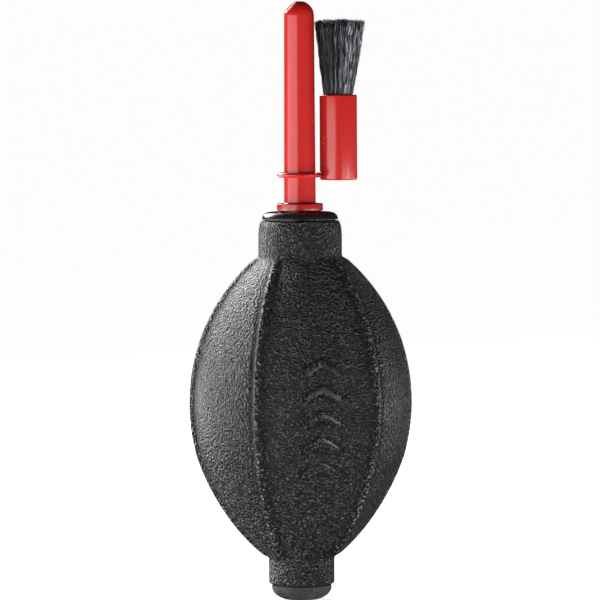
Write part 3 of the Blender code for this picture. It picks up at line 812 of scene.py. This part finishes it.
chance = random.Random(7)
clumps = []
for number in range(TUFT_CLUMPS):
    clump_turn = chance.uniform(0, 2 * pi)
    clump_spread = sqrt(chance.random())
    clump_seat = Vector((cos(clump_turn), sin(clump_turn))) * clump_spread
    clump_tone = max(0.0, min(1.0, chance.gauss(CLUMP_TONE, CLUMP_TONE_SPREAD)))
    phase = chance.uniform(0, 2 * pi)
    shorter = chance.uniform(0.0, CLUMP_SHORTENING)
    clumps.append((clump_seat, clump_tone, phase, shorter))
bm = bmesh.new()
tones = []
for number in range(BRISTLES):
    spread = sqrt((number + 0.5) / BRISTLES)
    turn = GOLDEN_TURN * number
    outwards = Vector((cos(turn), sin(turn), 0))
    seat = Vector((cos(turn), sin(turn))) * spread
    nearest_clump = min(clumps, key=lambda clump: (clump[0] - seat).length_squared)
    clump_seat, clump_tone, phase, shorter = nearest_clump
    # Painted shadow: bristles on the nozzle's side of the tuft get less painted sheen, as if the
    # nozzle shaded them.
    out_of_nozzle_shadow = smooth_step(seat.x, NOZZLE_SHADOW_START, NOZZLE_SHADOW_END)
    nozzle_shadow = NOZZLE_SHADOW_TONE + (1 - NOZZLE_SHADOW_TONE) * out_of_nozzle_shadow
    own_tone = max(0.0, min(1.0, chance.gauss(clump_tone, BRISTLE_TONE_SPREAD)))
    bristle_tone = nozzle_shadow * own_tone
    fan = spread * (1 + chance.uniform(*BRISTLE_FANNING))
    cut = chance.uniform(0.0, TRIM_UNEVENNESS) + shorter + TUFT_CROWN * spread**2
    top_z = TUFT_TOP_Z - cut
    wave = [chance.uniform(-BRISTLE_WAVE, BRISTLE_WAVE) for _ in range(4)]
    twist = chance.uniform(0, 2 * pi)
    loops = []
    for station in range(BRISTLE_STATIONS):
        share = station / (BRISTLE_STATIONS - 1)
        z = tuft_bottom + (top_z - tuft_bottom) * share
        open_share = max(0.0, (z - FERRULE_TOP_Z) / (TUFT_TOP_Z - FERRULE_TOP_Z))
        if z < FERRULE_TOP_Z:
            reach = TUFT_ROOT_RADIUS
        else:
            reach = TUFT_MOUTH_RADIUS + (TUFT_TIP_RADIUS - TUFT_MOUTH_RADIUS) * open_share
        sway = sin(pi * open_share)
        centre = Vector((BRUSH_X, 0, z)) + outwards * (reach - BRISTLE_RADIUS) * fan
        curl = CLUMP_WAVE * sqrt(open_share) * sin(phase + 2 * pi * CLUMP_WAVES * open_share)
        centre.x += TUFT_LEAN * open_share + wave[0] * sway + wave[1] * open_share + curl
        centre.y += wave[2] * sway + wave[3] * open_share
        from_axis = hypot(centre.x, centre.y)
        tube_radius = TUBE_BOTTOM_RADIUS - (TUBE_BOTTOM_RADIUS - TUBE_TOP_RADIUS) * share
        nearest = tube_radius + NOZZLE_CLEARANCE
        if from_axis < nearest:
            centre.x *= nearest / from_axis
            centre.y *= nearest / from_axis
        thick = BRISTLE_RADIUS * (1 - BRISTLE_TAPER * share)
        loop = []
        for side in range(BRISTLE_SIDES):
            a = twist + 2 * pi * side / BRISTLE_SIDES
            loop.append(bm.verts.new(centre + Vector((thick * cos(a), thick * sin(a), 0))))
            tones.append(bristle_tone * (ROOT_TONE + (1 - ROOT_TONE) * share))
        loops.append(loop)
    for loop, following in zip(loops, loops[1:]):
        for i in range(BRISTLE_SIDES):
            j = (i + 1) % BRISTLE_SIDES
            bm.faces.new((loop[i], loop[j], following[j], following[i]))
    bm.faces.new(reversed(loops[0]))
    bm.faces.new(loops[-1])
tuft_mesh = bpy.data.meshes.new("bristles")
bm.to_mesh(tuft_mesh)
bm.free()
tuft_mesh.shade_smooth()
tuft_mesh.attributes.new("tone", "FLOAT", "POINT").data.foreach_set("value", tones)
tuft_mesh.materials.append(bristle)
bristles = place_in_scene("bristles", tuft_mesh)
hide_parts("bristle_tuft")
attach(bristles, "brush")

resin, tree, shader = new_material("amber_resin", Transmission_Weight=0.35, IOR=1.5)
handled = effect(tree, handling, {"Patches per metre": 700.0})
resin_colour = colours(tree, handled["Mottle"], (0.42, 0.22, 0.06), (0.56, 0.36, 0.14))
resin_rough = ramp(tree, handled["Patches"], 0.0, 1.0, 0.12, 0.30)
finish_surface(tree, shader, resin_colour, resin_rough, handled["Mottle"], 0.00004)
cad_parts["bristle_resin"].data.materials[0] = resin


# --------------------------------------------------------------------------------- Inlet valve
# A domed plug of satin black plastic snaps into the base collar and lets air in through a hole
# in its flat foot. Inside it a thin rubber disc lifts off its seat, under a drilled cage.

FOOT_RADIUS = 0.0026
PLUG_RADIUS = 0.0075
PLUG_DOME_TOP_Z = 0.0033
PLUG_STEM_RADIUS = 0.0063
PLUG_BARB_RADIUS = 0.0069
PLUG_BARB_Z = 0.0122
PLUG_TOP_Z = 0.0140
PLUG_EDGE = 0.00015
INLET_RADIUS = 0.0010
INLET_EASE = 0.0002
CHAMBER_RADIUS = 0.0046
CHAMBER_FLOOR_Z = 0.0030
SEAT_Z = 0.0036
SEAT_INNER_RADIUS = 0.0014
SEAT_OUTER_RADIUS = 0.0020

satin_black, tree, shader = new_material("satin_black_plastic", Specular_IOR_Level=0.5)
spark = effect(tree, grain, {"Grains per metre": 2600.0})
handled = effect(tree, handling, {"Patches per metre": 140.0})
lint = effect(tree, dust, {"Share": 0.05})["Specks"]
satin = colours(tree, handled["Patches"], (0.026, 0.026, 0.028), (0.042, 0.042, 0.045))
satin = colours(tree, maths(tree, "MULTIPLY", lint, 0.4), satin, LINT_ON_BLACK)
satin_rough = ramp(tree, handled["Patches"], 0.0, 1.0, 0.46, 0.38)
finish_surface(tree, shader, satin, satin_rough, spark["Height"], 0.00035)

shelf_z = BASE_COLLAR_BOTTOM_Z - GAP
dome_size = (PLUG_RADIUS - FOOT_RADIUS, PLUG_DOME_TOP_Z)
outline = [(INLET_RADIUS, INLET_EASE), (INLET_RADIUS + INLET_EASE, 0.0)]
outline += arc((FOOT_RADIUS, PLUG_DOME_TOP_Z), dome_size, -pi / 2, 0, 28)
shelf_edge = (PLUG_RADIUS - PLUG_EDGE, shelf_z - PLUG_EDGE)
outline += arc(shelf_edge, (PLUG_EDGE, PLUG_EDGE), 0, pi / 2, 4)
outline += [(PLUG_STEM_RADIUS, shelf_z), (PLUG_STEM_RADIUS, PLUG_BARB_Z)]
outline += [(PLUG_BARB_RADIUS, PLUG_BARB_Z), (PLUG_STEM_RADIUS, PLUG_TOP_Z)]
outline += [(CHAMBER_RADIUS, PLUG_TOP_Z), (CHAMBER_RADIUS, CHAMBER_FLOOR_Z)]
outline += [(SEAT_OUTER_RADIUS, CHAMBER_FLOOR_Z), (SEAT_OUTER_RADIUS, SEAT_Z)]
outline += [(SEAT_INNER_RADIUS, SEAT_Z), (INLET_RADIUS, CHAMBER_FLOOR_Z)]
inlet_plug = loft("inlet_plug", turned(outline), satin_black)
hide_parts("valve_body")
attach(inlet_plug, "inlet_valve")

flap_rubber, tree, shader = new_material("flap_rubber", Specular_IOR_Level=0.4)
flap_grain = effect(tree, grain, {"Grains per metre": 5000.0})
flap_colour = colours(tree, flap_grain["Crests"], (0.035, 0.035, 0.037), (0.060, 0.060, 0.062))
flap_rough = ramp(tree, flap_grain["Height"], 0.3, 1.0, 0.60, 0.50)
finish_surface(tree, shader, flap_colour, flap_rough, flap_grain["Height"], 0.00001)
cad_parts["valve_flap"].data.materials[0] = flap_rubber

natural = moulded_plastic(
    "natural_plastic",
    main=(0.70, 0.68, 0.61),
    varied=(0.62, 0.60, 0.53),
    rough=0.38,
    marks_rough=0.10,
    ripple_depth=0.00002,
    specks=0.02,
)
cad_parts["valve_cage"].data.materials[0] = natural


# --------------------------------------------------------------------- Floor, lights and camera
# The blower stands on its foot on a pale table that glows softly. A long low softbox lights it from
# its left, a high one from behind, and low strips round the table light the rubber from below.

CAMERA_TURN = radians(-10)
CAMERA_DISTANCE = 1.537
CAMERA_Z = 0.157
AIM = Vector((0, 0, 0.0752))
AIM_SIDEWAYS = 0.0001
LENS = 369.0
ROLL = radians(-0.28)
STRIP_DISTANCE = 0.34
STRIP_Z = 0.024
STRIP_LENGTH = 0.30
STRIP_HEIGHT = 0.045


def around(turn, distance, z):
    """A point at an angle from the camera's own side, seen from above, at a distance and height."""
    angle = CAMERA_TURN + turn
    return Vector((sin(angle) * distance, -cos(angle) * distance, z))


def softbox(name, turn, distance, z, width, height, radiance):
    """A rectangle of even light that faces the blower."""
    light = bpy.data.lights.new(name, "AREA")
    light.shape = "RECTANGLE"
    light.size, light.size_y = width, height
    light.energy = radiance * pi * width * height
    lamp = place_in_scene(name, light)
    lamp.location = around(turn, distance, z)
    lamp.rotation_mode = "QUATERNION"
    lamp.rotation_quaternion = (lamp.location - AIM).to_track_quat("Z", "Y")


softbox(
    "long_softbox",
    turn=radians(-58), distance=0.45, z=0.09, width=0.80, height=0.18, radiance=2.3,
)
softbox(
    "back_high_softbox",
    turn=radians(-142), distance=0.62, z=0.42, width=0.50, height=0.34, radiance=10.5,
)
strips = ((-130, 10.0), (-95, 14.0), (-48, 4.0), (48, 5.5), (80, 7.0), (120, 5.0))
for number, (turn, radiance) in enumerate(strips):
    name = f"table_strip_{number + 1}"
    softbox(name, radians(turn), STRIP_DISTANCE, STRIP_Z, STRIP_LENGTH, STRIP_HEIGHT, radiance)

FLOOR_RADIUS = 60.0
NEAR_GLOW, FAR_GLOW = 0.78, 0.96
GLOW_START, GLOW_END = 0.05, 0.40  # the table brightens between these distances from the bulb
TABLE_LIGHT = 2.0  # how strongly the table lights the blower
SEEN_ROOM, DIM_ROOM = 1.0, 0.02  # the room's light as the camera sees it, and as it lights
pale, tree, shader = new_material("pale_floor", Roughness=0.9, Specular_IOR_Level=0.1)
shader.inputs["Base Color"].default_value = (0.86, 0.86, 0.86, 1.0)
shader.inputs["Emission Color"].default_value = (1.0, 1.0, 1.0, 1.0)
seen = put(tree, "ShaderNodeLightPath").outputs["Is Camera Ray"]
place = put(tree, "ShaderNodeTexCoord").outputs["Object"]
away = put(tree, "ShaderNodeVectorMath", {0: place}, operation="LENGTH").outputs["Value"]
shown = ramp(tree, away, GLOW_START, GLOW_END, NEAR_GLOW, FAR_GLOW)
less = maths(tree, "SUBTRACT", shown, TABLE_LIGHT)
glow = maths(tree, "MULTIPLY_ADD", seen, less, TABLE_LIGHT)
tree.links.new(glow, shader.inputs["Emission Strength"])
pale.cycles.emission_sampling = "NONE"
bm = bmesh.new()
bmesh.ops.create_circle(bm, cap_ends=True, segments=64, radius=FLOOR_RADIUS)
floor_mesh = bpy.data.meshes.new("floor")
bm.to_mesh(floor_mesh)
bm.free()
floor_mesh.materials.append(pale)
floor = place_in_scene("floor", floor_mesh)
floor.visible_glossy = False

world = bpy.data.worlds.new("room")
world.use_nodes = True
bpy.context.scene.world = world
room = world.node_tree
path = put(room, "ShaderNodeLightPath").outputs
lit = maths(room, "MULTIPLY_ADD", path["Is Camera Ray"], SEEN_ROOM - DIM_ROOM, DIM_ROOM)
background = room.nodes["Background"]
background.inputs["Color"].default_value = (1.0, 1.0, 1.0, 1.0)
room.links.new(lit, background.inputs["Strength"])
bpy.context.scene.view_settings.view_transform = "Standard"

camera_data = bpy.data.cameras.new("camera")
camera_data.sensor_width = 36.0
camera_data.lens = LENS
camera_data.clip_start, camera_data.clip_end = 0.01, 200.0
camera = place_in_scene("camera", camera_data)
camera.location = around(0.0, CAMERA_DISTANCE, CAMERA_Z)
side = Vector((cos(CAMERA_TURN), sin(CAMERA_TURN), 0))
looking = AIM - side * AIM_SIDEWAYS - camera.location
camera.rotation_mode = "QUATERNION"
camera.rotation_quaternion = looking.to_track_quat("-Z", "Y") @ Quaternion((0, 0, 1), ROLL)
bpy.context.scene.camera = camera
